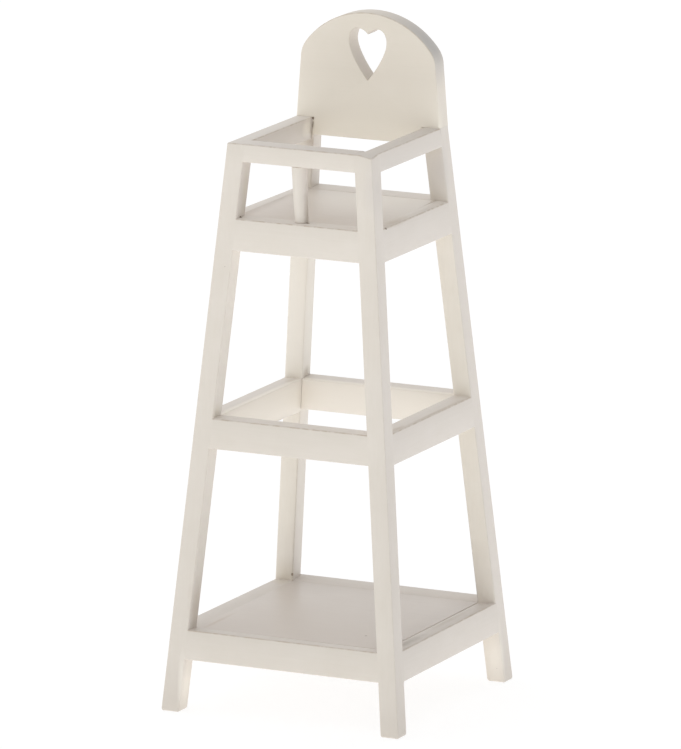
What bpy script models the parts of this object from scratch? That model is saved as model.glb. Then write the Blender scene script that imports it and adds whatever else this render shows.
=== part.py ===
"""Doll high chair in painted wood.

Four splayed legs carry four levels of rails: arms, seat aprons, middle rails and shelf rails.
A seat board lies in rebates of the side aprons, a shelf board is pinned between the lowest rails,
and an arched back panel with a heart cut through it stands on the rear legs. Every rail butts
against two legs and is held by a blind pin at each end.
The front faces -Y, left is -X, the floor is at z = 0, and every length is in metres.
"""
import math

import bmesh
import bpy
from mathutils import Vector
from mathutils.geometry import interpolate_bezier

# Frame, measured over the outer faces at the floor and at the top of the arms
FOOT_WIDTH = 0.0880
FOOT_DEPTH = 0.0900
TOP_WIDTH = 0.0531
TOP_DEPTH = 0.0587
FRAME_HEIGHT = 0.1923
LEG_WIDTH = 0.0066

# Heights of the rails on each level
SHELF_HEIGHT = 0.0101
MIDDLE_HEIGHT = 0.0102
APRON_HEIGHT = 0.0107
ARM_HEIGHT = 0.0060

# Open heights: under the shelf rails, between them and the middle rails, and from the seat up to
# the arms. What is left of the frame's height is open between the middle rails and the seat.
FLOOR_OPENING = 0.0181
LOWER_OPENING = 0.0616
ARM_OPENING = 0.0190

# The arms are this much thinner than the legs; the other rails are flush with the legs inside
ARM_SETBACK = 0.0008

# Boards: the seat lies on ledges, lower than its aprons, and the shelf almost flush with its rails
SEAT_LEDGE = 0.0020
SEAT_RECESS = 0.0010
SEAT_THICKNESS = 0.0030
SHELF_RECESS = 0.0005
SHELF_THICKNESS = 0.0040

# Post between the front arm rail and the front apron
POST_DIAMETER = 0.0051
SPIGOT_DIAMETER = 0.0024
SPIGOT_LENGTH = 0.0026

# Back panel: its rise above the frame, the drop from its crown to its shoulders, and how far
# the shoulders lie inside its foot, which is flush with the sides of the frame
BACK_THICKNESS = 0.0070
BACK_RISE = 0.0371
BACK_SHOULDER_DROP = 0.0137
BACK_SHOULDER_INSET = 0.0018
BACK_OVERHANG = 0.0002
SHOULDER_ROUND = 0.0090

# Heart cut through the back panel, and the wood left between it and the crown
HEART_WIDTH = 0.0137
HEART_HEIGHT = 0.0174
HEART_CROWN_WALL = 0.0055

# Round pins that hold the butt joints
PIN_DIAMETER = 0.0016
PIN_LENGTH = 0.0052
PIN_CHAMFER = 0.0003
PIN_FIT = 0.00015
PIN_END_ROOM = 0.0002
BACK_PIN_INSET = 0.0024

# Making
CLEARANCE = 0.0003
EDGE_EASE = 0.0005
FOOT_EASE = 0.0008
OVERRUN = 0.0020

# Places of the pins: off the middle of a rail as a share of its height, so that two pins pass
# each other inside a leg, and out along the side of the shelf board as a share of its half
PIN_OFFSET_SHARE = 0.2
SHELF_PIN_SHARE = 0.55

# Right half of the heart from the notch over the lobe to the tip, as three Bezier curves:
# shares of half the width across, and of the height up from the tip
HEART_SHARES = (
    (0.00, 0.894), (0.13, 0.957), (0.34, 1.0), (0.57, 1.0),
    (0.83, 1.0), (1.0, 0.883), (1.0, 0.745),
    (1.0, 0.533), (0.38, 0.172), (0.0, 0.0),
)

# Facets and shading
EASE_STEPS = 2
EASE_PROFILE = 0.5
ROUND_STEPS = 4
ARCH_STEPS = 12
HEART_STEPS = 7
PIN_SIDES = 12
POST_SIDES = 28
SHARP_ANGLE = math.radians(40)
SAME_WAY = 0.999

# Finishes: linear colour and roughness
FRAME_PAINT = ((0.75, 0.70, 0.62), 0.50)
BOARD_PAINT = ((0.70, 0.65, 0.58), 0.55)
BARE_WOOD = ((0.62, 0.45, 0.27), 0.65)

LEFT, RIGHT = -1, 1
FRONT, REAR = -1, 1
SIDE_NAMES = {LEFT: "left", RIGHT: "right"}
END_NAMES = {FRONT: "front", REAR: "rear"}

# Sizes that follow from the ones above
RAIL_THICKNESS = LEG_WIDTH
ARM_THICKNESS = LEG_WIDTH - ARM_SETBACK
SEAT_RIM = RAIL_THICKNESS - SEAT_LEDGE
SHELF_BASE = FLOOR_OPENING
MIDDLE_BASE = SHELF_BASE + SHELF_HEIGHT + LOWER_OPENING
ARM_BASE = FRAME_HEIGHT - ARM_HEIGHT
APRON_TOP = ARM_BASE - ARM_OPENING
APRON_BASE = APRON_TOP - APRON_HEIGHT
SEAT_TOP = APRON_TOP - SEAT_RECESS
SHELF_TOP = SHELF_BASE + SHELF_HEIGHT - SHELF_RECESS

# Underside, height and thickness of the rails on each level
LEVELS = {
    "arm": (ARM_BASE, ARM_HEIGHT, ARM_THICKNESS),
    "seat": (APRON_BASE, APRON_HEIGHT, RAIL_THICKNESS),
    "middle": (MIDDLE_BASE, MIDDLE_HEIGHT, RAIL_THICKNESS),
    "shelf": (SHELF_BASE, SHELF_HEIGHT, RAIL_THICKNESS),
}

# Pieces that get pin holes: the name of each, with the centre and the axis of each pin in it
pin_holes = {}


def clear_scene():
    """Remove whatever the scene held before."""
    for item in list(bpy.data.objects):
        bpy.data.objects.remove(item)


def outer_x(z):
    """Half the frame's outside width at height z, where the legs have leaned in."""
    return (FOOT_WIDTH + (TOP_WIDTH - FOOT_WIDTH) * z / FRAME_HEIGHT) / 2


def outer_y(z):
    """Half the frame's outside depth at height z."""
    return (FOOT_DEPTH + (TOP_DEPTH - FOOT_DEPTH) * z / FRAME_HEIGHT) / 2


def finish(name, paint):
    """A material of its own for one piece."""
    colour, roughness = paint
    material = bpy.data.materials.new(name + "_finish")
    material.use_nodes = True
    shader = material.node_tree.nodes["Principled BSDF"]
    shader.inputs["Base Color"].default_value = (*colour, 1.0)
    shader.inputs["Roughness"].default_value = roughness
    shader.inputs["Metallic"].default_value = 0.0
    return material


def add_object(name, bm, paint):
    """Turn a bmesh into a named object with its finish."""
    bmesh.ops.recalc_face_normals(bm, faces=bm.faces)
    mesh = bpy.data.meshes.new(name)
    bm.to_mesh(mesh)
    bm.free()
    item = bpy.data.objects.new(name, mesh)
    item.data.materials.append(finish(name, paint))
    bpy.context.scene.collection.objects.link(item)
    return item


def loft(rings):
    """Close a skin over rings of points, with a flat face on the first and the last ring.

    Returns the bmesh and its edges that run from ring to ring, one list for each point of a ring.
    """
    bm = bmesh.new()
    loops = [[bm.verts.new(point) for point in ring] for ring in rings]
    count = len(rings[0])
    for low, high in zip(loops, loops[1:]):
        for i in range(count):
            j = (i + 1) % count
            bm.faces.new((low[i], low[j], high[j], high[i]))
    bm.faces.new(loops[0])
    bm.faces.new(loops[-1])
    bmesh.ops.recalc_face_normals(bm, faces=bm.faces)
    runs = []
    for i in range(count):
        runs.append([bm.edges.get((low[i], high[i])) for low, high in zip(loops, loops[1:])])
    return bm, runs


def ease(bm, edges, width):
    """Round off the given edges."""
    bmesh.ops.bevel(bm, geom=edges, offset=width, offset_type="OFFSET", segments=EASE_STEPS,
                    profile=EASE_PROFILE, affect="EDGES", clamp_overlap=True)


def rim_edges(bm, normal):
    """The edges round the flat faces that look along the given normal."""
    flat = {face for face in bm.faces if face.normal.dot(normal) > SAME_WAY}
    return [edge for edge in bm.edges if len(flat.intersection(edge.link_faces)) == 1]


def smooth_rounds(item):
    """Shade a round piece smooth and keep its real corners sharp."""
    item.data.shade_smooth()
    item.data.set_sharp_from_angle(angle=SHARP_ANGLE)


def circle(centre, axis, radius, sides):
    """A ring of points round an axis."""
    turn = axis.to_track_quat("Z", "Y")
    ring = []
    for i in range(sides):
        angle = math.tau * i / sides
        ring.append(centre + turn @ Vector((radius * math.cos(angle), radius * math.sin(angle), 0)))
    return ring


def turned(centre, axis, profile, sides):
    """Rings for a turned shape: the profile lists distances along the axis and radii."""
    return [circle(centre + axis * along, axis, radius, sides) for along, radius in profile]


def add_pin(name, centre, axis, joined):
    """A pin half in each of the two joined pieces, and its hole in both."""
    half = PIN_LENGTH / 2
    radius = PIN_DIAMETER / 2
    profile = (
        (-half, radius - PIN_CHAMFER), (PIN_CHAMFER - half, radius),
        (half - PIN_CHAMFER, radius), (half, radius - PIN_CHAMFER),
    )
    bm, _ = loft(turned(centre, axis, profile, PIN_SIDES))
    smooth_rounds(add_object(name, bm, BARE_WOOD))
    for piece in joined:
        pin_holes.setdefault(piece, []).append((centre, axis))


def cut(item, cutter):
    """Subtract a hidden cutter from a piece."""
    cutter.hide_render = True
    cutter.display_type = "WIRE"
    modifier = item.modifiers.new(cutter.name, "BOOLEAN")
    modifier.operation = "DIFFERENCE"
    modifier.solver = "EXACT"
    modifier.object = cutter


def drill_pin_holes():
    """Cut all the pin holes of each piece with one cutter."""
    half = PIN_LENGTH / 2 + PIN_END_ROOM
    radius = PIN_DIAMETER / 2 + PIN_FIT
    for piece, places in pin_holes.items():
        bm = bmesh.new()
        for centre, axis in places:
            drill, _ = loft(turned(centre, axis, ((-half, radius), (half, radius)), PIN_SIDES))
            mesh = bpy.data.meshes.new("drill")
            drill.to_mesh(mesh)
            drill.free()
            bm.from_mesh(mesh)
            bpy.data.meshes.remove(mesh)
        cut(bpy.data.objects[piece], add_object(piece + "_pin_holes", bm, BARE_WOOD))


def leg_name(side, end):
    """The name of the leg at one corner."""
    return f"leg_{END_NAMES[end]}_{SIDE_NAMES[side]}"


def add_leg(side, end):
    """A square leg that leans in both ways, cut level at the floor and at the top of the arms."""
    rings = []
    for z in (0.0, FRAME_HEIGHT):
        x_out, y_out = outer_x(z), outer_y(z)
        x_in, y_in = x_out - LEG_WIDTH, y_out - LEG_WIDTH
        corners = ((x_out, y_out), (x_in, y_out), (x_in, y_in), (x_out, y_in))
        rings.append([Vector((side * x, end * y, z)) for x, y in corners])
    bm, runs = loft(rings)
    ease(bm, [edge for run in runs for edge in run], EDGE_EASE)
    ease(bm, rim_edges(bm, Vector((0, 0, -1))), FOOT_EASE)
    if end == FRONT:
        ease(bm, rim_edges(bm, Vector((0, 0, 1))), EDGE_EASE)
    add_object(leg_name(side, end), bm, FRAME_PAINT)


def cross_rail(name, level, end):
    """A front or rear rail, between two legs, whose faces lean with the legs."""
    base, height, thickness = LEVELS[level]
    top = base + height
    rings = []
    for side in (LEFT, RIGHT):
        ring = []
        for z, inward in ((base, 0), (base, thickness), (top, thickness), (top, 0)):
            x = outer_x(z) - LEG_WIDTH - CLEARANCE
            ring.append(Vector((side * x, end * (outer_y(z) - inward), z)))
        rings.append(ring)
    bm, runs = loft(rings)
    ease(bm, [edge for run in runs for edge in run], EDGE_EASE)
    add_object(name, bm, FRAME_PAINT)
    for side in (LEFT, RIGHT):
        z = base + height / 2 + height * PIN_OFFSET_SHARE
        x = outer_x(z) - LEG_WIDTH
        y = outer_y(z) - thickness / 2
        centre = Vector((side * x, end * y, z))
        joined = (name, leg_name(side, end))
        add_pin(f"pin_{name}_{SIDE_NAMES[side]}", centre, Vector((side, 0, 0)), joined)


def side_rail_profile(level):
    """Height and inward distance of each corner of a side rail; a seat apron has a rebate."""
    base, height, thickness = LEVELS[level]
    top = base + height
    inner = ((top, thickness),)
    if level == "seat":
        ledge = SEAT_TOP - SEAT_THICKNESS - CLEARANCE
        inner = ((ledge, thickness), (ledge, SEAT_RIM), (top, SEAT_RIM))
    return ((base, 0), (base, thickness), *inner, (top, 0))


def side_rail(name, level, side):
    """A left or right rail, between a front and a rear leg."""
    base, height, thickness = LEVELS[level]
    profile = side_rail_profile(level)
    rings = []
    for end in (FRONT, REAR):
        ring = []
        for z, inward in profile:
            y = outer_y(z) - LEG_WIDTH - CLEARANCE
            ring.append(Vector((side * (outer_x(z) - inward), end * y, z)))
        rings.append(ring)
    bm, runs = loft(rings)
    corners = [run for run, (z, _) in zip(runs, profile) if z in (base, base + height)]
    ease(bm, [edge for run in corners for edge in run], EDGE_EASE)
    add_object(name, bm, FRAME_PAINT)
    for end in (FRONT, REAR):
        z = base + height / 2 - height * PIN_OFFSET_SHARE
        x = outer_x(z) - thickness / 2
        y = outer_y(z) - LEG_WIDTH
        centre = Vector((side * x, end * y, z))
        joined = (name, leg_name(side, end))
        add_pin(f"pin_{name}_{END_NAMES[end]}", centre, Vector((0, end, 0)), joined)


def add_board(name, top, thickness, side_inset, end_inset):
    """A board between the rails, whose edges lean with them."""
    rings = []
    for z in (top - thickness, top):
        x = outer_x(z) - side_inset - CLEARANCE
        y = outer_y(z) - end_inset - CLEARANCE
        rings.append([Vector(point) for point in ((-x, -y, z), (x, -y, z), (x, y, z), (-x, y, z))])
    bm, _ = loft(rings)
    add_object(name, bm, BOARD_PAINT)


def add_shelf_pins():
    """Two pins from each side edge of the shelf board into the side rail."""
    z = SHELF_TOP - SHELF_THICKNESS / 2
    for side in (LEFT, RIGHT):
        for end in (FRONT, REAR):
            x = outer_x(z) - RAIL_THICKNESS
            y = (outer_y(z) - RAIL_THICKNESS) * SHELF_PIN_SHARE
            centre = Vector((side * x, end * y, z))
            name = f"pin_shelf_board_{SIDE_NAMES[side]}_{END_NAMES[end]}"
            joined = ("shelf_board", f"shelf_rail_{SIDE_NAMES[side]}")
            add_pin(name, centre, Vector((side, 0, 0)), joined)


def add_post():
    """The round post that keeps a doll from sliding out, with a spigot at each end."""
    radius = POST_DIAMETER / 2
    spigot = SPIGOT_DIAMETER / 2
    foot = Vector((0, ARM_THICKNESS / 2 - outer_y(ARM_BASE), 0))
    up = Vector((0, 0, 1))
    low, high = APRON_TOP + CLEARANCE, ARM_BASE - CLEARANCE
    profile = (
        (APRON_TOP - SPIGOT_LENGTH, spigot), (low, spigot), (low, radius),
        (high, radius), (high, spigot), (ARM_BASE + SPIGOT_LENGTH, spigot),
    )
    bm, _ = loft(turned(foot, up, profile, POST_SIDES))
    smooth_rounds(add_object("crotch_post", bm, FRAME_PAINT))
    radius = spigot + PIN_FIT
    for piece, face, way in (("seat_apron_front", APRON_TOP, -1), ("arm_rail_front", ARM_BASE, 1)):
        bottom = face + way * (SPIGOT_LENGTH + PIN_END_ROOM)
        mouth = face - way * OVERRUN
        bm, _ = loft(turned(foot, up, ((bottom, radius), (mouth, radius)), PIN_SIDES))
        cut(bpy.data.objects[piece], add_object(piece + "_spigot_hole", bm, BARE_WOOD))


def arc(centre, radius, start, end, steps):
    """Points along an arc in the plane of the back panel, both ends included."""
    points = []
    for i in range(steps + 1):
        angle = start + (end - start) * i / steps
        points.append(centre + radius * Vector((math.cos(angle), math.sin(angle))))
    return points


def shoulder_and_arch():
    """The right shoulder's rounding, then the arch as far as its crown.

    The arch runs through the crown and both shoulder corners. Each corner is rounded by a small
    arc that touches the straight side and the arch from inside.
    """
    half = outer_x(FRAME_HEIGHT)
    foot = Vector((half, FRAME_HEIGHT + CLEARANCE))
    crown = FRAME_HEIGHT + BACK_RISE
    corner = Vector((half - BACK_SHOULDER_INSET, crown - BACK_SHOULDER_DROP))
    radius = (corner.x ** 2 + BACK_SHOULDER_DROP ** 2) / (2 * BACK_SHOULDER_DROP)
    centre = Vector((0, crown - radius))
    up = (corner - foot).normalized()
    inward = Vector((-up.y, up.x))
    start = corner + inward * SHOULDER_ROUND - centre
    along = start.dot(up)
    reach = radius - SHOULDER_ROUND
    down = along - math.sqrt(along ** 2 - start.length_squared + reach ** 2)
    touch = start - up * down
    pivot = centre + touch
    side_angle = math.atan2(-inward.y, -inward.x)
    arch_angle = math.atan2(touch.y, touch.x)
    shoulder = arc(pivot, SHOULDER_ROUND, side_angle, arch_angle, ROUND_STEPS)
    arch = arc(centre, radius, arch_angle, math.pi / 2, ARCH_STEPS)
    return shoulder + arch[1:]


def back_outline():
    """The back panel seen from the front: right side up, over the arch, and down the left side."""
    half = outer_x(FRAME_HEIGHT)
    foot = FRAME_HEIGHT + CLEARANCE
    right = [
        Vector((outer_x(ARM_BASE) - LEG_WIDTH - CLEARANCE, ARM_BASE)),
        Vector((half - LEG_WIDTH - CLEARANCE, foot)),
        Vector((half, foot)),
    ]
    right += shoulder_and_arch()
    left = [Vector((-point.x, point.y)) for point in reversed(right[:-1])]
    return right + left


def heart_outline():
    """The closed outline of the heart, from the notch down the right side and up the left."""
    half = HEART_WIDTH / 2
    tip = FRAME_HEIGHT + BACK_RISE - HEART_CROWN_WALL - HEART_HEIGHT
    knots = [Vector((x * half, z * HEART_HEIGHT + tip)) for x, z in HEART_SHARES]
    right = []
    for i in range(0, len(knots) - 1, 3):
        right += interpolate_bezier(*knots[i:i + 4], HEART_STEPS + 1)[:-1]
    right.append(knots[-1])
    left = [Vector((-point.x, point.y)) for point in reversed(right[1:-1])]
    return right + left


def add_back_panel():
    """The arched back, standing upright on the rear legs with a tongue down between them."""
    back = outer_y(FRAME_HEIGHT) + BACK_OVERHANG
    front = back - BACK_THICKNESS
    outline = back_outline()
    bm, _ = loft([[Vector((point.x, y, point.y)) for point in outline] for y in (front, back)])
    ease(bm, rim_edges(bm, Vector((0, -1, 0))) + rim_edges(bm, Vector((0, 1, 0))), EDGE_EASE)
    panel = add_object("back_panel", bm, FRAME_PAINT)
    ends = (front - OVERRUN, back + OVERRUN)
    bm, _ = loft([[Vector((point.x, y, point.y)) for point in heart_outline()] for y in ends])
    cut(panel, add_object("heart_cutter", bm, FRAME_PAINT))
    x = outer_x(FRAME_HEIGHT) - LEG_WIDTH / 2
    y = outer_y(FRAME_HEIGHT) - BACK_PIN_INSET
    for side in (LEFT, RIGHT):
        centre = Vector((side * x, y, FRAME_HEIGHT))
        joined = ("back_panel", leg_name(side, REAR))
        add_pin(f"pin_back_panel_{SIDE_NAMES[side]}", centre, Vector((0, 0, 1)), joined)


def build():
    """Make the whole chair."""
    clear_scene()
    for end in (FRONT, REAR):
        for side in (LEFT, RIGHT):
            add_leg(side, end)
    cross_rail("arm_rail_front", "arm", FRONT)
    for side in (LEFT, RIGHT):
        side_rail(f"armrest_{SIDE_NAMES[side]}", "arm", side)
    for level, piece in (("seat", "seat_apron"), ("middle", "middle_rail"), ("shelf", "shelf_rail")):
        for end in (FRONT, REAR):
            cross_rail(f"{piece}_{END_NAMES[end]}", level, end)
        for side in (LEFT, RIGHT):
            side_rail(f"{piece}_{SIDE_NAMES[side]}", level, side)
    add_board("seat_board", SEAT_TOP, SEAT_THICKNESS, SEAT_RIM, RAIL_THICKNESS)
    add_board("shelf_board", SHELF_TOP, SHELF_THICKNESS, RAIL_THICKNESS, RAIL_THICKNESS)
    add_shelf_pins()
    add_post()
    add_back_panel()
    drill_pin_holes()


build()
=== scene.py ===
"""Looks of the doll high chair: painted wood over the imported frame, in a bright tent of light.

All lengths are in metres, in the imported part's own coordinates: front is -Y, left is -X. The
frame was glued and then painted, so its legs and rails start as one skin, get their eased edges
together, and are then parted along the joints. That leaves each piece closed and the paint
unbroken from piece to piece.
"""

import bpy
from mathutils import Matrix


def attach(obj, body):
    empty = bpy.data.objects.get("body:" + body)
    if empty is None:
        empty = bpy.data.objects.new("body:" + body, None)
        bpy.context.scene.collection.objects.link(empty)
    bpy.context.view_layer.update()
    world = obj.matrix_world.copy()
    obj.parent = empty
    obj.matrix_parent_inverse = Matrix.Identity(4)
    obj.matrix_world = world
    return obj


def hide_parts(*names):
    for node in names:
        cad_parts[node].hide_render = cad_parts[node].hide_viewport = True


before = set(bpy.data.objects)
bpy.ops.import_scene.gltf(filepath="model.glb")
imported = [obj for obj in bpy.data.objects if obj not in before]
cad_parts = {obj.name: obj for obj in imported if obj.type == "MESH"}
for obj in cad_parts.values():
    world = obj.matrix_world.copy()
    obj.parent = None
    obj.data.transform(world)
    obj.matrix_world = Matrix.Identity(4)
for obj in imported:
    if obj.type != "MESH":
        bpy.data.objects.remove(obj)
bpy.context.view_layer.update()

import math

import bmesh
import bpy
from mathutils import Matrix, Vector
from mathutils.geometry import interpolate_bezier

MM = 0.001
LEFT, RIGHT = -1, 1
FRONT, REAR = -1, 1
SIDE_NAMES = {LEFT: "left", RIGHT: "right"}
END_NAMES = {FRONT: "front", REAR: "rear"}

# Sizes of the frame, as the solids have them
FOOT_WIDTH, FOOT_DEPTH = 88.0 * MM, 90.0 * MM
TOP_WIDTH, TOP_DEPTH = 53.1 * MM, 58.7 * MM
FRAME_HEIGHT = 192.3 * MM
LEG = 6.6 * MM
ARM = 5.8 * MM
SHELF_BASE, SHELF_TOP = 18.1 * MM, 28.2 * MM
MIDDLE_BASE, MIDDLE_TOP = 89.8 * MM, 100.0 * MM
APRON_BASE, APRON_TOP = 156.6 * MM, 167.3 * MM
ARM_BASE = 186.3 * MM
SEAT_RIM = 4.6 * MM
SEAT_TOP, SEAT_THICKNESS = 166.3 * MM, 3.0 * MM
BOARD_THICKNESS = 4.0 * MM
CLEARANCE = 0.3 * MM
LEDGE = SEAT_TOP - SEAT_THICKNESS - CLEARANCE

# Back panel, with its heart as shares of half its width and of its height
BACK_THICKNESS, BACK_OVERHANG = 7.0 * MM, 0.2 * MM
BACK_RISE, SHOULDER_DROP = 37.1 * MM, 13.7 * MM
SHOULDER_INSET, SHOULDER_ROUND = 1.8 * MM, 9.0 * MM
HEART_WIDTH, HEART_HEIGHT, CROWN_WALL = 13.7 * MM, 17.4 * MM, 5.5 * MM
HEART_SHARES = (
    (0.00, 0.894), (0.13, 0.957), (0.34, 1.0), (0.57, 1.0),
    (0.83, 1.0), (1.0, 0.883), (1.0, 0.745),
    (1.0, 0.533), (0.38, 0.172), (0.0, 0.0),
)

# Post, which leans and tapers a little
POST_TOP_X, POST_FOOT_X = -1.1 * MM, -0.25 * MM
POST_TOP_RADIUS, POST_FOOT_RADIUS = 2.6 * MM, 2.3 * MM

# How the real frame strays from the solids' levels: sloping faces across a rail's thickness, side
# rails a little deeper, two left rails deeper still to the rear, one worn corner
SLOPE = 0.087
SIDE_SAG, LEFT_FALL = 0.4 * MM, 0.5 * MM
MIDDLE_SAG = {FRONT: 0.35 * MM, REAR: 1.1 * MM}
ARM_SAG = {FRONT: 0.45 * MM, REAR: 1.35 * MM}
ARM_TILT = 0.4 * MM
CORNER_DIP = 0.9 * MM
SHELF_BOARD_TOP = SHELF_TOP - SLOPE * LEG
SEAT_STEP = 0.06 * MM
SEAT_FRONT_TOP, SEAT_REAR_TOP = SEAT_TOP, APRON_TOP - SEAT_STEP

# Eased edges and joints; at its left the seat board has a run of paint, which bends a third of the
# way out and up
EDGE, FOOT_EDGE, HEART_EDGE, POST_EDGE = 0.42 * MM, 0.8 * MM, 0.35 * MM, 0.25 * MM
SEAM, OPEN_JOINT = 0.02 * MM, 0.14 * MM
SHELF_GAP, SEAT_GAP = 0.15 * MM, 0.30 * MM
PAINT_RUN, RUN_BEND = 3.0 * MM, 3
ROUND, EASE_STEPS = 0.5, 3
ARCH_STEPS, ROUND_STEPS, HEART_STEPS, POST_SIDES = 40, 10, 14, 64
FLAT, SHARP = math.radians(20), math.radians(35)

# How close two levels count as one, how close points are welded in the skin and in a cut or the
# panel, and the least bend between two edges that aren't in line
NEAR, SKIN_WELD, WELD, LEAST_BEND = 0.01 * MM, 1e-7, 1e-8, 1e-4

# Linear colours of the paint and of bare wood; how much a streak adds to each channel or takes from
# it; and factors on the paint's colour: painted warmer light on faces to the front, painted shade
# on the outside low at the front, painted light on faces to the inside, painted shade on tops,
# darker feet, edges darkened partly by wear and partly as painted shade, and dirt in chips and
# specks with painted shadow in gaps and holes
PAINT = (0.750, 0.700, 0.648)
# The panel's paint is paler than the frame's as painted light, for the light the panel gets less of
PANEL_PAINT_WITH_PAINTED_LIGHT = (0.797, 0.740, 0.665)
# The boards' paint is darker than the frame's as painted shade on their upward faces
BOARD_PAINT_WITH_TOP_SHADE = (0.725, 0.668, 0.616)
BARE_WOOD = (0.62, 0.45, 0.27)
LIGHT_STREAK, DARK_STREAK = (0.020, 0.020, 0.022), (-0.028, -0.034, -0.048)
FRONT_WARM_LIGHT = (1.0, 1.0, 0.975)
LOW_FRONT_SHADE = (0.93, 0.93, 0.93)
INNER_PAINTED_LIGHT = (1.09, 1.10, 1.09)
TOP_SHADE_TINT = (0.79, 0.775, 0.765)
FOOT_TINT = (0.76, 0.745, 0.72)
WORN_AND_SHADED_EDGE_TINT = (0.70, 0.63, 0.54)
DIRT_AND_GAP_SHADOW = (0.20, 0.13, 0.07)

# Noises: waves in a metre and detail; along the grain the streaks and brush marks are drawn out
STREAKS, BRUSH, MOTTLE, PEEL, RUB = (1100, 4), (3200, 3), (70, 3), (5200, 2), (420, 4)
DRAWN_OUT = 0.06
NOISE_ROUGHNESS = 0.6
MOTTLE_SHARE, STREAK_SHARE = 0.65, 0.35
TONE_RANGE = (0.33, 0.67)

# Where the painted light and shade and the darker feet start and end, in metres, with their shares
# at either end
LOW_HEIGHTS, LOW_DEPTHS = (0.03, 0.17), (-0.04, 0.0)
INNER_START, INNER_END = (0.03, 0.05), (0.155, 0.165)
ACROSS_MIDDLE = (-0.01, 0.01)
ARMS_START, ARMS_ACROSS, ARMS_TOP_SHADE = (0.176, 0.184), (-0.024, 0.004), (0.10, 0.62)
SHELF_END, SHELF_ACROSS, SHELF_TOP_SHADE = (0.032, 0.038), (0.026, 0.036), (0.55, 1.0)
TOP_SHADE_RANGE, TOP_SHADE_LEAST = (0.35, 0.65), 0.85
FOOT_END, FOOT_DARKENING = (0.005, 0.018), 0.45

# From where to where a normal's component counts as facing a way, and how much such edges darken,
# partly by wear and partly as painted shade
FACING, FACING_UP, FACING_ACROSS = (0.5, 0.9), (0.3, 0.8), (0.3, 0.7)
EDGE_UP, EDGE_LEVEL, LEVEL_WEAR_AND_SHADE = (0.15, 0.5), (0.90, 0.99), 0.25
EDGE_CORNER, CORNER_WEAR_AND_SHADE = (0.25, 0.5), 0.3
RUB_RANGE, RUB_WEAR_AND_SHADE = (0.40, 0.60), (0.2, 0.75)

# Specks, the paint's unevenness and its gloss
SPECK_WAVES, SPECK_RADIUS, SPECK_STRENGTH = 62.0, (0.008, 0.014), 0.40
GLOSS_RANGE, GLOSS_SPREAD = (0.7, 1.3), 0.07
BRUSH_HEIGHT, STREAK_HEIGHT, PEEL_HEIGHT = 0.5, 0.8, 0.25
BUMP_STRENGTH, BUMP_DEPTH = 0.4, 0.02 * MM

# Marks in the paint, most of them painted shade in corners, joints and on tops, painted shadow in
# gaps and holes, or painted light on faces that get little light; a few are chips. Each kind has
# its strength, its softness, how ragged its rim is, whether it stays off faces that look to the
# front or back, and its factors on the paint's colour. Each mark has its middle and its reach along
# x, y and z in millimetres, and its kind
RIM_SPREAD, RAGGED_RANGE = 0.3, (0.3, 0.7)
# Painted shadow in gaps and holes between parts; chips and specks are dark dirt
GAP_SHADOW = (0.9, 0.3, 0.2, False, DIRT_AND_GAP_SHADOW)
CHIP = (0.6, 0.3, 0.2, False, DIRT_AND_GAP_SHADOW)
# Painted shade in corners, joints, on tops and on the arch, olive or bluish in places
SHADE_PATCH = (0.8, 0.9, 0.15, False, (0.77, 0.72, 0.66))
DEEP_SHADE_PATCH = (0.95, 0.9, 0.15, False, (0.66, 0.62, 0.57))
DARKEST_SHADE_PATCH = (1.0, 0.7, 0.15, False, (0.58, 0.56, 0.53))
OLIVE_SHADE_PATCH = (0.5, 0.9, 0.1, False, (0.89, 0.86, 0.76))
BLUE_SHADE_PATCH = (1.0, 0.8, 0.0, True, (0.65, 0.67, 0.71))
SHADE = (1.0, 0.5, 0.0, True, (0.83, 0.82, 0.82))
# Faint painted shade
FAINT_SHADE = (1.0, 0.9, 0.0, False, (0.93, 0.93, 0.93))
# Painted light, strong and mild, on faces that get too little light
STRONG_PAINTED_LIGHT = (1.0, 0.6, 0.0, False, (1.23, 1.245, 1.22))
MILD_PAINTED_LIGHT = (1.0, 0.8, 0.0, False, (1.14, 1.155, 1.13))
LEG_SHADE_AND_MARKS = (
    ((-29.0, 32.5, 128.0), (12.0, 12.0, 36.0), MILD_PAINTED_LIGHT),
    ((26.5, 24.0, 178.0), (6.0, 3.0, 9.0), FAINT_SHADE),
    ((27.6, -26.5, 181.0), (4.0, 7.0, 9.0), FAINT_SHADE),
    ((-22.4, -28.4, 167.3), (0.5, 0.6, 0.5), GAP_SHADOW),
    ((-34.9, 36.0, 29.9), (0.5, 0.5, 0.6), GAP_SHADOW),
    ((-20.35, 22.8, 191.9), (0.5, 0.8, 0.6), GAP_SHADOW),
    ((-20.35, 22.8, 188.8), (0.45, 0.8, 2.2), GAP_SHADOW),
    ((-34.6, -38.2, 37.5), (1.5, 3.5, 11.0), SHADE_PATCH),
    ((-28.3, -34.2, 101.2), (1.2, 2.8, 3.4), OLIVE_SHADE_PATCH),
    ((-21.3, -26.5, 176.0), (1.2, 2.0, 10.0), OLIVE_SHADE_PATCH),
    ((-28.0, 33.5, 102.0), (1.2, 2.0, 2.0), SHADE_PATCH),
    ((-20.3, 24.0, 171.2), (1.0, 1.4, 2.4), SHADE_PATCH),
    ((-21.5, 23.5, 183.5), (2.2, 1.0, 1.6), SHADE_PATCH),
    ((-38.0, 36.0, 29.0), (5.0, 1.2, 6.0), OLIVE_SHADE_PATCH),
    ((2.4, -27.6, 170.5), (1.1, 2.4, 11.0), DEEP_SHADE_PATCH),
    ((40.5, 37.7, 9.0), (6.0, 2.0, 12.0), MILD_PAINTED_LIGHT),
    ((-36.6, -41.0, 9.0), (1.5, 6.0, 12.0), MILD_PAINTED_LIGHT),
)
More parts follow.
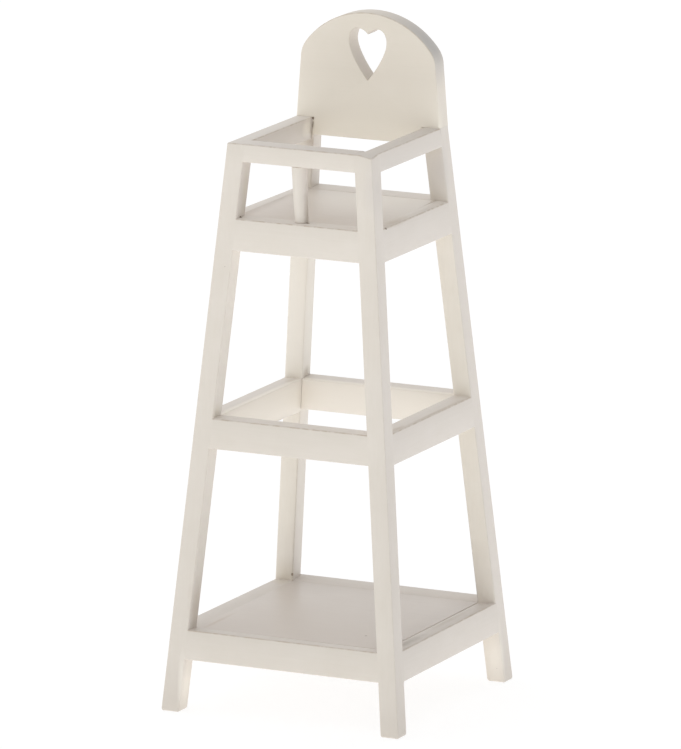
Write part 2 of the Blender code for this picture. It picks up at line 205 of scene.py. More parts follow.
CROSS_SHADE_AND_MARKS = (
    ((2.5, -27.7, 167.3), (0.55, 0.5, 0.5), GAP_SHADOW),
    ((-22.0, -28.4, 167.3), (0.5, 0.6, 0.5), GAP_SHADOW),
    ((0.0, 30.7, 94.0), (80.0, 2.0, 14.0), STRONG_PAINTED_LIGHT),
)
SIDE_SHADE_AND_MARKS = (
    ((27.0, -14.0, 187.5), (4.0, 46.0, 4.2), FAINT_SHADE),
    ((28.8, -23.0, 167.2), (0.6, 0.6, 0.5), GAP_SHADOW),
    ((26.8, -14.0, 167.3), (3.4, 11.0, 1.0), SHADE_PATCH),
    ((-29.8, 25.7, 100.0), (2.0, 2.6, 0.8), SHADE_PATCH),
    ((-30.5, -27.5, 100.0), (2.4, 3.0, 0.8), SHADE_PATCH),
    ((33.4, -24.0, 100.2), (1.3, 6.0, 0.8), SHADE_PATCH),
    ((34.2, 3.0, 100.2), (0.8, 26.0, 0.8), SHADE_PATCH),
    ((37.6, -25.0, 28.2), (2.2, 14.0, 1.4), DARKEST_SHADE_PATCH),
    ((37.2, 8.0, 28.2), (1.3, 16.0, 1.0), DEEP_SHADE_PATCH),
    ((-32.9, -37.0, 28.1), (1.2, 3.0, 0.8), SHADE_PATCH),
    ((-38.0, 33.0, 28.2), (4.0, 3.5, 1.2), OLIVE_SHADE_PATCH),
    ((-28.8, 0.0, 94.0), (2.0, 80.0, 14.0), STRONG_PAINTED_LIGHT),
    ((-20.9, 20.5, 189.0), (1.2, 4.5, 3.6), STRONG_PAINTED_LIGHT),
)
BOARD_SHADE_AND_MARKS = (
    ((8.0, 22.0, 166.9), (30.0, 26.0, 3.0), MILD_PAINTED_LIGHT),
    ((13.6, 13.5, 166.4), (0.45, 0.45, 0.6), CHIP),
    ((21.4, 17.2, 166.5), (0.40, 0.40, 0.6), CHIP),
    ((20.9, -21.7, 27.7), (0.45, 0.45, 0.6), CHIP),
    ((-32.4, -25.5, 27.7), (0.9, 12.5, 0.6), SHADE_PATCH),
)
PANEL_SHADE_AND_MARKS = (
    ((-20.05, 22.55, 192.0), (0.6, 0.8, 0.6), GAP_SHADOW),
    ((-20.05, 22.6, 188.8), (0.5, 1.5, 2.4), GAP_SHADOW),
    ((0.0, 22.5, 188.0), (80.0, 3.0, 17.0), MILD_PAINTED_LIGHT),
    ((20.0, 26.1, 219.5), (18.0, 8.0, 12.0), BLUE_SHADE_PATCH),
    ((0.0, 26.1, 215.0), (9.0, 20.0, 12.0), SHADE),
)

# Light of the tent on its four sides, near the horizon and halfway up, then overhead; and the
# floor's own glow, which is that of a sheet lit from below, as the chair gets it and as the camera
# sees it beside the floor's share of plain white
LOW_LIGHT = {"front": 0.61, "right": 0.41, "rear": 0.67, "left": 0.76}
HIGH_LIGHT = {"front": 0.79, "right": 0.31, "rear": 0.89, "left": 1.16}
TOP_LIGHT = 0.94
FLOOR_GLOW, FLOOR_SEEN_GLOW = 0.57, 0.35
FLOOR_WHITE = 0.70
FLOOR_COLOUR, FLOOR_ROUGHNESS, FLOOR_GLOSS = (0.86, 0.86, 0.86, 1.0), 0.9, 0.1
FLOOR_REACH = 8.0
HALFWAY_UP = 0.5
WHITE = (1.0, 1.0, 1.0, 1.0)
TINY = 1e-6

# Camera that took the photograph: focal length and frame width in pixels
FOCAL_PIXELS, FRAME_PIXELS, SENSOR = 9752.94, 681, 36
CLIP_NEAR, CLIP_FAR = 0.1, 20.0
EYE = (1.39129, -2.85835, 0.82352)
EYE_RIGHT = (0.899256, 0.437424, 0.0)
EYE_FORWARD = (-0.426816, 0.877448, -0.218893)


def outer_x(z):
    """Half the frame's outside width at height z."""
    return (FOOT_WIDTH + (TOP_WIDTH - FOOT_WIDTH) * z / FRAME_HEIGHT) / 2


def outer_y(z):
    """Half the frame's outside depth at height z."""
    return (FOOT_DEPTH + (TOP_DEPTH - FOOT_DEPTH) * z / FRAME_HEIGHT) / 2


def open_edges(bm):
    """How many edges don't lie between exactly two faces."""
    return sum(1 for edge in bm.edges if len(edge.link_faces) != 2)


def add_piece(name, bm, material, slot, *nodes):
    """Link a closed mesh as a piece that stands for the given nodes."""
    bmesh.ops.recalc_face_normals(bm, faces=bm.faces)
    loose = open_edges(bm)
    if loose:
        print("open edges in", name, loose)
    mesh = bpy.data.meshes.new(name)
    bm.to_mesh(mesh)
    bm.free()
    mesh.shade_smooth()
    mesh.set_sharp_from_angle(angle=SHARP)
    item = bpy.data.objects.new(name, mesh)
    item.data.materials.append(material)
    bpy.context.scene.collection.objects.link(item)
    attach(item, "root")
    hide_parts(*nodes)
    return item


def frame_skin():
    """Legs and rails as one skin over the filled cells of a leaning grid.

    The grid's middle column and middle row lie between the legs. Rails cross them, and the cell
    in both is the open inside. Two left rails hang deeper than the others: their base comes
    twice, and of all the rails only they fill the layer between.
    """
    across = [(LEFT, 0.0), (LEFT, SEAT_RIM), (LEFT, ARM), (LEFT, LEG),
              (RIGHT, LEG), (RIGHT, ARM), (RIGHT, SEAT_RIM), (RIGHT, 0.0)]
    deep = [(FRONT, 0.0), (FRONT, ARM), (FRONT, LEG), (REAR, LEG), (REAR, ARM), (REAR, 0.0)]
    heights = [0.0, SHELF_BASE, SHELF_TOP, MIDDLE_BASE, MIDDLE_BASE, MIDDLE_TOP, APRON_BASE, LEDGE,
               APRON_TOP, ARM_BASE, ARM_BASE, FRAME_HEIGHT]
    shelf_top, middle_top, top = 2, 5, len(heights) - 1
    bases, sloped_tops, sags = {1, 3, 4, 6, 9, 10}, {5, 8}, {3: MIDDLE_SAG, 9: ARM_SAG}
    middle_x, middle_y = 3, 2
    rail_layers, rebate_layer, arm_layer = {1, 4, 6, 7}, 7, 10
    rim_cells, arm_cells, sag_cells = {0, 6}, {0, 1, 5, 6}, {3: {0, 1, 2}, 9: {0, 1}}

    def filled(i, j, k):
        if not (0 <= i < len(across) - 1 and 0 <= j < len(deep) - 1 and 0 <= k < top):
            return False
        if i != middle_x and j != middle_y:
            return True
        if i == middle_x and j == middle_y:
            return False
        if k in rail_layers:
            return i == middle_x or k != rebate_layer or i in rim_cells
        if k in sag_cells:
            return i in sag_cells[k]
        if k == arm_layer:
            return j == 0 if i == middle_x else i in arm_cells
        return False

    def stray(i, j, k):
        """How far a corner lies above its level."""
        inset = min(across[i][1], deep[j][1])
        if k in bases:
            sag = sags[k][deep[j][0]] if k in sags else 0.0
            return -sag - max(SLOPE * inset, SIDE_SAG if deep[j][1] == LEG else 0.0)
        fall = SLOPE * inset if k == shelf_top else 0.0
        if k == shelf_top or k in sloped_tops:
            if deep[j][0] == FRONT:
                return -fall
            low_side = across[i] == (LEFT, 0.0) and k != middle_top
            return SLOPE * (LEG - deep[j][1]) - fall - (LEFT_FALL if low_side else 0.0)
        if k == top:
            if across[i] == (RIGHT, 0.0) and deep[j] == (FRONT, 0.0):
                return -CORNER_DIP
            if across[i][1] == LEG and deep[j] == (FRONT, ARM):
                return ARM_TILT
        return 0.0

    bm = bmesh.new()
    corners = {}

    def corner(i, j, k):
        if (i, j, k) not in corners:
            z = heights[k] + stray(i, j, k)
            side, inset_x = across[i]
            end, inset_y = deep[j]
            place = (side * (outer_x(z) - inset_x), end * (outer_y(z) - inset_y), z)
            corners[i, j, k] = bm.verts.new(place)
        return corners[i, j, k]

    walls = [
        ((-1, 0, 0), ((0, 0, 0), (0, 0, 1), (0, 1, 1), (0, 1, 0))),
        ((1, 0, 0), ((1, 0, 0), (1, 1, 0), (1, 1, 1), (1, 0, 1))),
        ((0, -1, 0), ((0, 0, 0), (1, 0, 0), (1, 0, 1), (0, 0, 1))),
        ((0, 1, 0), ((0, 1, 0), (0, 1, 1), (1, 1, 1), (1, 1, 0))),
        ((0, 0, -1), ((0, 0, 0), (0, 1, 0), (1, 1, 0), (1, 0, 0))),
        ((0, 0, 1), ((0, 0, 1), (1, 0, 1), (1, 1, 1), (0, 1, 1))),
    ]
    for i in range(len(across) - 1):
        for j in range(len(deep) - 1):
            for k in range(len(heights) - 1):
                if not filled(i, j, k):
                    continue
                for (di, dj, dk), quad in walls:
                    if not filled(i + di, j + dj, k + dk):
                        bm.faces.new([corner(i + a, j + b, k + c) for a, b, c in quad])
    bmesh.ops.recalc_face_normals(bm, faces=bm.faces)
    return bm


def outward(bm, wanted):
    """The outward corners among the edges that the test wants."""
    found = []
    for edge in bm.edges:
        if len(edge.link_faces) != 2 or not edge.is_convex or not wanted(edge):
            continue
        if edge.calc_face_angle() > FLAT:
            found.append(edge)
    return found


def put_in_order(bm):
    """Sort points, edges and faces by place: a bevel's order changes from run to run."""
    def sort(parts, place):
        for rank, part in enumerate(sorted(parts, key=place)):
            part.index = rank
        parts.sort()
        parts.index_update()

    sort(bm.verts, lambda vert: vert.co[:])
    for parts in (bm.edges, bm.faces):
        sort(parts, lambda part: sorted(vert.index for vert in part.verts))


def ease(bm, edges, width, mark):
    """Round the edges and mark the strips for wear and painted shade."""
    made = bmesh.ops.bevel(bm, geom=edges, offset=width, offset_type="OFFSET",
                           segments=EASE_STEPS, profile=ROUND, affect="EDGES",
                           clamp_overlap=False, loop_slide=True)
    for face in made["faces"]:
        face[mark] = 1
    bm.normal_update()


def soften(bm):
    """Ease the frame's edges, but not where the back panel or a board lies against them."""
    mark = bm.faces.layers.int.new("worn_and_shaded_edge")

    def on_floor(edge):
        return all(vert.co.z < NEAR for vert in edge.verts)

    def under_panel(edge):
        top = all(vert.co.z > FRAME_HEIGHT - NEAR for vert in edge.verts)
        back = outer_y(FRAME_HEIGHT) - LEG - NEAR
        return top and all(vert.co.y > back for vert in edge.verts)

    def by_board(edge):
        """The rails' inner edges where a board lies against them without a seam."""
        places = [vert.co for vert in edge.verts]
        if all(abs(place.z - SHELF_BOARD_TOP) < NEAR for place in places):
            return not all(place.x > 0 for place in places)
        rim_x, rim_y = outer_x(APRON_TOP) - SEAT_RIM, outer_y(APRON_TOP) - LEG
        on_rim = all(abs(place.x + rim_x) < NEAR for place in places)
        on_rear = all(abs(place.y - rim_y) < NEAR for place in places)
        level = all(abs(place.z - APRON_TOP) < NEAR for place in places)
        return level and (on_rim or on_rear)

    def eased(edge):
        return not (on_floor(edge) or under_panel(edge) or by_board(edge))

    ease(bm, outward(bm, eased), EDGE, mark)
    ease(bm, outward(bm, on_floor), FOOT_EDGE, mark)
    bmesh.ops.remove_doubles(bm, verts=bm.verts, dist=SKIN_WELD)
    put_in_order(bm)


def saw(bm, axis, side, inset, keep_inside):
    """Cut along a joint's plane, inset from the frame's leaning outside, and close the cut."""
    outer = outer_x if axis == 0 else outer_y
    foot, top = outer(0.0) - inset, outer(FRAME_HEIGHT) - inset
    point = Vector((0, 0, 0))
    point[axis] = side * foot
    normal = Vector((0, 0, (foot - top) / FRAME_HEIGHT))
    normal[axis] = side
    geom = bm.verts[:] + bm.edges[:] + bm.faces[:]
    cut = bmesh.ops.bisect_plane(bm, geom=geom, dist=WELD, plane_co=point, plane_no=normal,
                                 clear_outer=keep_inside, clear_inner=not keep_inside)
    rim = [part for part in cut["geom_cut"] if isinstance(part, bmesh.types.BMEdge)]
    rim = [edge for edge in rim if edge.is_valid and len(edge.link_faces) == 1]
    if rim:
        bmesh.ops.edgeloop_fill(bm, edges=rim)


def islands(bm):
    """The mesh's separate pieces, each as a bmesh of its own with its middle."""
    bm.faces.index_update()
    seen, pieces = set(), []
    for face in bm.faces:
        if face.index in seen:
            continue
        group, stack = [], [face]
        seen.add(face.index)
        while stack:
            current = stack.pop()
            group.append(current)
            for edge in current.edges:
                for other in edge.link_faces:
                    if other.index not in seen:
                        seen.add(other.index)
                        stack.append(other)
        pieces.append({one.index for one in group})
    result = []
    for keep in pieces:
        part = bm.copy()
        part.faces.ensure_lookup_table()
        drop = [one for one in part.faces if one.index not in keep]
        bmesh.ops.delete(part, geom=drop, context="FACES")
        middle = sum((vert.co for vert in part.verts), Vector()) / len(part.verts)
        result.append((part, middle))
    return result


def level_name(z):
    """Which level of rails lies at height z."""
    levels = (("shelf_rail", SHELF_BASE, SHELF_TOP), ("middle_rail", MIDDLE_BASE, MIDDLE_TOP),
              ("seat_apron", APRON_BASE, APRON_TOP), ("arm", ARM_BASE, FRAME_HEIGHT))
    return min(levels, key=lambda level: abs((level[1] + level[2]) / 2 - z))[0]


def add_frame(paints):
    """Part the painted skin into legs and rails along the joints."""
    skin = frame_skin()
    soften(skin)
    inset = LEG + SEAM

    across = skin.copy()
    for side in (LEFT, RIGHT):
        saw(across, 0, side, inset, True)
    for part, middle in islands(across):
        level = level_name(middle.z)
        end = END_NAMES[FRONT if middle.y < 0 else REAR]
        name = "arm_rail_front" if level == "arm" else f"{level}_{end}"
        if name == "middle_rail_rear":
            saw(part, 0, LEFT, LEG + OPEN_JOINT, True)
        add_piece(name + "_painted", part, paints["x"], "frame_paint", name)
    across.free()

    deep = skin.copy()
    for end in (FRONT, REAR):
        saw(deep, 1, end, inset, True)
    for part, middle in islands(deep):
        level = level_name(middle.z)
        side = SIDE_NAMES[LEFT if middle.x < 0 else RIGHT]
        name = f"armrest_{side}" if level == "arm" else f"{level}_{side}"
        add_piece(name + "_painted", part, paints["y"], "frame_paint", name)
    deep.free()

    for end in (FRONT, REAR):
        for side in (LEFT, RIGHT):
            leg = skin.copy()
            saw(leg, 0, side, inset, False)
            saw(leg, 1, end, inset, False)
            name = f"leg_{END_NAMES[end]}_{SIDE_NAMES[side]}"
            add_piece(name + "_painted", leg, paints["z"], "frame_paint", name)
    skin.free()


def arc(centre, radius, start, end, steps):
    """Points along an arc in the panel's plane, both ends included."""
    points = []
    for i in range(steps + 1):
        angle = start + (end - start) * i / steps
        points.append(centre + radius * Vector((math.cos(angle), math.sin(angle))))
    return points


def panel_outline():
    """The panel's right half as points, each with whether the edge after it is eased.

    It starts at the middle of the tongue's underside, goes up beside the leg, out over the leg's
    top, up the side and over the arch to the crown.
    """
    half = outer_x(FRAME_HEIGHT)
    crown = FRAME_HEIGHT + BACK_RISE
    corner = Vector((half - SHOULDER_INSET, crown - SHOULDER_DROP))
    foot = Vector((half, FRAME_HEIGHT + SEAM))
    radius = (corner.x ** 2 + SHOULDER_DROP ** 2) / (2 * SHOULDER_DROP)
    centre = Vector((0, crown - radius))
    up = (corner - foot).normalized()
    inward = Vector((-up.y, up.x))
    start = corner + inward * SHOULDER_ROUND - centre
    along = start.dot(up)
    down = along - math.sqrt(along ** 2 - start.length_squared + (radius - SHOULDER_ROUND) ** 2)
    touch = start - up * down
    side_angle = math.atan2(-inward.y, -inward.x)
    arch_angle = math.atan2(touch.y, touch.x)
    shoulder = arc(centre + touch, SHOULDER_ROUND, side_angle, arch_angle, ROUND_STEPS)
    arch = arc(centre, radius, arch_angle, math.pi / 2, ARCH_STEPS)
    gap = LEG + SEAM
    points = [
        (Vector((outer_x(ARM_BASE) - gap, ARM_BASE)), False),
        (Vector((half - gap, FRAME_HEIGHT + SEAM)), False),
        (foot, True),
    ]
    points += [(point, True) for point in shoulder + arch[1:]]
    return points


def mirrored(points):
    """Close a right half, whose last point lies on the middle, with its mirror image."""
    whole = [(point.copy(), eased) for point, eased in points]
    for i in range(len(points) - 2, -1, -1):
        point = points[i][0]
        eased = points[i - 1][1] if i else True
        whole.append((Vector((-point.x, point.y)), eased))
    return whole


def inset_ring(points, width):
    """Move each eased edge inwards by a width; what isn't eased stays on its line."""
    count = len(points)
    ring = []
    for i in range(count):
        before, here, after = points[i - 1], points[i], points[(i + 1) % count]
        way_in = (here[0] - before[0]).normalized()
        way_out = (after[0] - here[0]).normalized()
        normal_in = Vector((-way_in.y, way_in.x))
        normal_out = Vector((-way_out.y, way_out.x))
        width_in = width if before[1] else 0.0
        width_out = width if here[1] else 0.0
        bend = normal_in.x * normal_out.y - normal_in.y * normal_out.x
        if abs(bend) < LEAST_BEND:
            move = (normal_in + normal_out).normalized() * max(width_in, width_out)
        else:
            move = Vector((width_in * normal_out.y - width_out * normal_in.y,
                           width_out * normal_in.x - width_in * normal_out.x)) / bend
        ring.append(here[0] + move)
    return ring


def heart_outline():
    """The heart's closed outline, clockwise, so that inwards is into the wood."""
    half = HEART_WIDTH / 2
    tip = FRAME_HEIGHT + BACK_RISE - CROWN_WALL - HEART_HEIGHT
    knots = [Vector((x * half, z * HEART_HEIGHT + tip)) for x, z in HEART_SHARES]
    right = []
    for i in range(0, len(knots) - 1, 3):
        right += interpolate_bezier(*knots[i:i + 4], HEART_STEPS + 1)[:-1]
    right.append(knots[-1])
    right = [Vector((point.x, point.y)) for point in right]
    left = [Vector((-point.x, point.y)) for point in reversed(right[1:-1])]
    return [(point, True) for point in right + left]


def wall(bm, points, front, back, width, mark):
    """A wall along an outline with both its rims eased; returns the loops it ends in."""
    profile = []
    for i in range(EASE_STEPS + 1):
        angle = math.pi / 2 * i / EASE_STEPS
        profile.append((width * (1 - math.sin(angle)), width * (1 - math.cos(angle))))
    rows = [(front + deep, inset) for inset, deep in profile]
    rows += [(back - deep, inset) for inset, deep in reversed(profile)]
    loops = []
    for y, inset in rows:
        ring = inset_ring(points, inset)
        loops.append([bm.verts.new((point.x, y, point.y)) for point in ring])
    count = len(points)
    for row, (low, high) in enumerate(zip(loops, loops[1:])):
        for i in range(count):
            j = (i + 1) % count
            face = bm.faces.new((low[i], low[j], high[j], high[i]))
            face[mark] = 1 if row != EASE_STEPS and points[i][1] else 0
    return loops[0], loops[-1]


def add_back_panel(paint):
    """The arched back with its heart, on the rear legs and down between them."""
    back = outer_y(FRAME_HEIGHT) + BACK_OVERHANG
    front = back - BACK_THICKNESS
    bm = bmesh.new()
    mark = bm.faces.layers.int.new("worn_and_shaded_edge")
    outline = wall(bm, mirrored(panel_outline()), front, back, EDGE, mark)
    heart = wall(bm, heart_outline(), front, back, HEART_EDGE, mark)
    for loops in zip(outline, heart):
        edges = []
        for loop in loops:
            for i, vert in enumerate(loop):
                edges.append(bm.edges.get((vert, loop[(i + 1) % len(loop)])))
        bmesh.ops.triangle_fill(bm, use_beauty=True, use_dissolve=False, edges=edges)
    bmesh.ops.remove_doubles(bm, verts=bm.verts, dist=WELD)
    add_piece("back_panel_painted", bm, paint, "frame_paint", "back_panel")


def add_post(paint):
    """A dowel that leans and tapers a little, drawn by a profile with soft ends."""
    y = ARM / 2 - outer_y(ARM_BASE)
    foot = APRON_TOP - SEAM
    length = ARM_BASE + SEAM - foot
    profile = [(0.0, POST_FOOT_RADIUS - POST_EDGE), (POST_EDGE, POST_FOOT_RADIUS),
               (length - POST_EDGE, POST_TOP_RADIUS), (length, POST_TOP_RADIUS - POST_EDGE)]
    bm = bmesh.new()
    mark = bm.faces.layers.int.new("worn_and_shaded_edge")
    loops = []
    for up, radius in profile:
        x = POST_FOOT_X + (POST_TOP_X - POST_FOOT_X) * up / length
        ring = []
        for i in range(POST_SIDES):
            angle = math.tau * i / POST_SIDES
            place = (x + radius * math.cos(angle), y + radius * math.sin(angle), foot + up)
            ring.append(bm.verts.new(place))
        loops.append(ring)
    for row, (below, above) in enumerate(zip(loops, loops[1:])):
        for i in range(POST_SIDES):
            j = (i + 1) % POST_SIDES
            face = bm.faces.new((below[i], below[j], above[j], above[i]))
            face[mark] = 0 if row == 1 else 1
    bm.faces.new(loops[0])
    bm.faces.new(loops[-1])
    add_piece("crotch_post_painted", bm, paint, "frame_paint", "crotch_post")


def add_board(name, tops, thickness, side_inset, gaps, rises, paint):
    """A board with barely eased edges.

    Its tops are its heights at the front and at the rear, its gaps are its distances from the
    rails left, right, front and rear, and its rises are how high the paint runs up at its left,
    at the front and at the rear.
    """
    left, right, front, rear = gaps
    ends = []
    for end, top, gap, rise in zip((FRONT, REAR), tops, (front, rear), rises):
        end_ring = []
        corners = ((LEFT, 0.0, -thickness), (RIGHT, 0.0, -thickness), (RIGHT, 0.0, 0.0),
                   (LEFT, PAINT_RUN, 0.0), (LEFT, PAINT_RUN / RUN_BEND, rise / RUN_BEND),
                   (LEFT, 0.0, rise))
        for side, inward, up in corners:
            z = top + up
            x = side * (outer_x(z) - side_inset - (left if side == LEFT else right) - inward)
            end_ring.append(Vector((x, end * (outer_y(z) - LEG - gap), z)))
        ends.append(end_ring)
    bm = bmesh.new()
    mark = bm.faces.layers.int.new("worn_and_shaded_edge")
    near_end, far_end = ([bm.verts.new(point) for point in ring] for ring in ends)
    for i in range(len(near_end)):
        j = (i + 1) % len(near_end)
        bm.faces.new((near_end[i], near_end[j], far_end[j], far_end[i]))
    bm.faces.new(near_end)
    bm.faces.new(far_end)
    bmesh.ops.recalc_face_normals(bm, faces=bm.faces)
    ease(bm, outward(bm, lambda edge: edge.calc_face_angle() > SHARP), SEAM, mark)
    put_in_order(bm)
    add_piece(name + "_painted", bm, paint, "board_paint", name)


class Nodes:
    """A short way to write the nodes of a material or a world."""

    def __init__(self, owner):
        owner.use_nodes = True
        self.owner = owner
        self.tree = owner.node_tree
        self.shader = self.tree.nodes.get("Principled BSDF")

    def add(self, kind, links=None, **values):
        node = self.tree.nodes.new(kind)
        for key, value in values.items():
            setattr(node, key, value)
        for socket, source in (links or {}).items():
            if isinstance(source, bpy.types.NodeSocket):
                self.tree.links.new(source, node.inputs[socket])
            else:
                node.inputs[socket].default_value = source
        return node

    def noise(self, vector, waves, stretch=(1, 1, 1)):
        """Noise of a number of waves in a metre and a detail, stretched per axis."""
        scale, detail = waves
        place = self.add("ShaderNodeMapping", {"Vector": vector, "Scale": stretch})
        node = self.add("ShaderNodeTexNoise", {"Vector": place.outputs[0], "Scale": scale,
                                               "Detail": detail, "Roughness": NOISE_ROUGHNESS})
        return node.outputs["Fac"]

    def span(self, value, ends, to_low, to_high):
        """A value's range between two ends mapped to another one."""
        low, high = ends
        node = self.add("ShaderNodeMapRange", {"Value": value, "From Min": low, "From Max": high,
                                               "To Min": to_low, "To Max": to_high})
        return node.outputs["Result"]

    def rise(self, value, ends):
        """From 0 to 1 between two ends."""
        return self.span(value, ends, 0.0, 1.0)

    def fall(self, value, ends):
        """From 1 to 0 between two ends."""
        return self.span(value, ends, 1.0, 0.0)

    def maths(self, operation, first, second):
        return self.add("ShaderNodeMath", {0: first, 1: second}, operation=operation).outputs[0]

    def times(self, first, second):
        return self.maths("MULTIPLY", first, second)

    def larger(self, first, second):
        return self.maths("MAXIMUM", first, second)

    def length(self, vector):
        return self.add("ShaderNodeVectorMath", {0: vector}, operation="LENGTH").outputs["Value"]

    def mix(self, share, first, second, blend="MIX"):
        """Blend two colours; a plain colour may stand for the second."""
        node = self.add("ShaderNodeMix", data_type="RGBA", blend_type=blend)
        for index, value in ((0, share), (6, first), (7, second)):
            if isinstance(value, bpy.types.NodeSocket):
                self.tree.links.new(value, node.inputs[index])
            else:
                node.inputs[index].default_value = value
        return node.outputs[2]


def tinted(colour, *factors):
    """A colour times a factor for each channel, with an alpha."""
    return tuple(min(1.0, c * f) for c, f in zip(colour, factors)) + (1.0,)


def painted_wood(name, colour, grain, shade_and_marks, contrast=1.0, wear_and_shade=1.0, roughness=0.52,
                 inner_light=0.0):
    """Brushed paint over wood whose grain runs along one axis.

    It has faint streaks and mottling, painted light and shade by where a face lies and looks,
    painted shade on tops at the arms and on the shelf, darker feet, eased edges darkened partly by
    wear and partly as painted shade, and its own marks, mostly painted shade and light. The share
    inner_light says how much paler, as painted light, its faces towards the chair's inside are.
    """
    n = Nodes(bpy.data.materials.new(name))
    places = n.add("ShaderNodeTexCoord")
    where = places.outputs["Object"]
    x, y, z = n.add("ShaderNodeSeparateXYZ", {0: where}).outputs
    facing = n.add("ShaderNodeSeparateXYZ", {0: places.outputs["Normal"]}).outputs
    long = tuple(DRAWN_OUT if axis == grain else 1.0 for axis in "xyz")
    streaks, brush = n.noise(where, STREAKS, long), n.noise(where, BRUSH, long)
    mottle, peel, rub = n.noise(where, MOTTLE), n.noise(where, PEEL), n.noise(where, RUB)

    light, dark = (tinted(colour, *(1 + contrast * f for f in streak))
                   for streak in (LIGHT_STREAK, DARK_STREAK))
    tone = n.maths("ADD", n.times(mottle, MOTTLE_SHARE), n.times(streaks, STREAK_SHARE))
    base = n.mix(n.rise(tone, TONE_RANGE), dark, light)
    base = shaded(n, base, (x, y, z), facing, inner_light)

    # Painted shade on upward faces at the arms and on the shelf, uneven with the mottling
    arms = n.times(n.rise(z, ARMS_START), n.span(x, ARMS_ACROSS, *ARMS_TOP_SHADE))
    shelf = n.times(n.fall(z, SHELF_END), n.span(x, SHELF_ACROSS, *SHELF_TOP_SHADE))
    top_shade = n.times(n.rise(facing[2], FACING_UP), n.larger(arms, shelf))
    top_shade = n.times(top_shade, n.span(mottle, TOP_SHADE_RANGE, TOP_SHADE_LEAST, 1.0))
    base = n.mix(top_shade, base, tinted(colour, *TOP_SHADE_TINT))
    # Darker towards the floor at the feet
    base = n.mix(n.span(z, FOOT_END, FOOT_DARKENING, 0.0), base, tinted(colour, *FOOT_TINT))

    # Eased strips darkened, partly by wear and partly as painted shade
    worn_and_shaded_edge = n.add("ShaderNodeAttribute", attribute_name="worn_and_shaded_edge").outputs["Fac"]
    rubbed_and_shaded = n.span(rub, RUB_RANGE, *(share * wear_and_shade for share in RUB_WEAR_AND_SHADE))
    worn_and_shaded = n.times(edge_wear_and_shade(n, facing), rubbed_and_shaded)
    base = n.mix(n.times(worn_and_shaded_edge, worn_and_shaded), base, tinted(colour, *WORN_AND_SHADED_EDGE_TINT))
    # Marks, mostly painted shade and painted light, with a few chips
    base = shaded_and_marked(n, base, colour, shade_and_marks, where, rub, facing)

    cells = n.add("ShaderNodeTexVoronoi", {"Vector": where, "Scale": SPECK_WAVES})
    speck = n.span(cells.outputs["Distance"], SPECK_RADIUS, SPECK_STRENGTH, 0.0)
    base = n.mix(speck, base, tinted(colour, *DIRT_AND_GAP_SHADOW))
    n.tree.links.new(base, n.shader.inputs["Base Color"])

    rough = n.span(n.maths("ADD", brush, mottle), GLOSS_RANGE,
                   roughness - GLOSS_SPREAD, roughness + GLOSS_SPREAD)
    n.tree.links.new(rough, n.shader.inputs["Roughness"])

    height = n.maths("ADD", n.times(brush, BRUSH_HEIGHT), n.times(streaks, STREAK_HEIGHT))
    height = n.maths("ADD", height, n.times(peel, PEEL_HEIGHT))
    bump = n.add("ShaderNodeBump", {"Height": height, "Strength": BUMP_STRENGTH,
                                    "Distance": BUMP_DEPTH})
    n.tree.links.new(bump.outputs[0], n.shader.inputs["Normal"])
    return n.owner


def shaded(n, base, place, facing, inner_light):
    """Painted light and shade: warmer facing front, darker outside low at the front, paler facing
    in.
    """
    x, y, z = place
    facing_ahead = tuple(-end for end in reversed(FACING))
    front = n.fall(facing[1], facing_ahead)
    base = n.mix(front, base, FRONT_WARM_LIGHT + (1.0,), "MULTIPLY")
    outside = n.larger(front, n.rise(facing[0], FACING))
    low = n.times(n.fall(y, LOW_DEPTHS), n.fall(z, LOW_HEIGHTS))
    base = n.mix(n.times(outside, low), base, LOW_FRONT_SHADE + (1.0,), "MULTIPLY")
    inward = n.larger(n.times(facing[0], n.span(x, ACROSS_MIDDLE, 1.0, -1.0)),
                      n.times(facing[1], n.span(y, ACROSS_MIDDLE, 1.0, -1.0)))
    between = n.times(n.rise(z, INNER_START), n.fall(z, INNER_END))
    inward = n.times(n.span(inward, FACING, 0.0, inner_light), between)
    return n.mix(inward, base, INNER_PAINTED_LIGHT + (1.0,), "MULTIPLY")


def edge_wear_and_shade(n, facing):
    """How much an eased edge darkens, partly wear, partly painted shade: facing up, or right and
    front.
    """
    up = n.times(n.rise(facing[2], EDGE_UP), n.span(facing[2], EDGE_LEVEL, 1.0, LEVEL_WEAR_AND_SHADE))
    ahead = n.larger(n.times(facing[1], -1.0), 0.0)
    corner = n.times(n.larger(facing[0], 0.0), ahead)
    return n.larger(up, n.span(corner, EDGE_CORNER, 0.0, CORNER_WEAR_AND_SHADE))


def shaded_and_marked(n, base, colour, shade_and_marks, where, rub, facing):
    """Lay the marks, painted shade and light and chips, over the paint's colour, in their order."""
    for place, reach, (strength, soft, ragged, off_fronts, factors) in shade_and_marks:
        place = tuple(p * MM for p in place)
        reach = tuple(1 / (r * MM) for r in reach)
        moved = n.add("ShaderNodeVectorMath", {0: where, 1: place}, operation="SUBTRACT").outputs[0]
        moved = n.add("ShaderNodeVectorMath", {0: moved, 1: reach}, operation="MULTIPLY").outputs[0]
        away = n.maths("ADD", n.length(moved), n.span(rub, RAGGED_RANGE, -ragged, ragged))
        share = n.span(away, (1.0 - soft, 1.0 + RIM_SPREAD * soft), strength, 0.0)
        if off_fronts:
            frontal = n.maths("ABSOLUTE", facing[1], 0.0)
            share = n.times(share, n.fall(frontal, FACING_ACROSS))
        base = n.mix(share, base, tinted(colour, *factors))
    return base


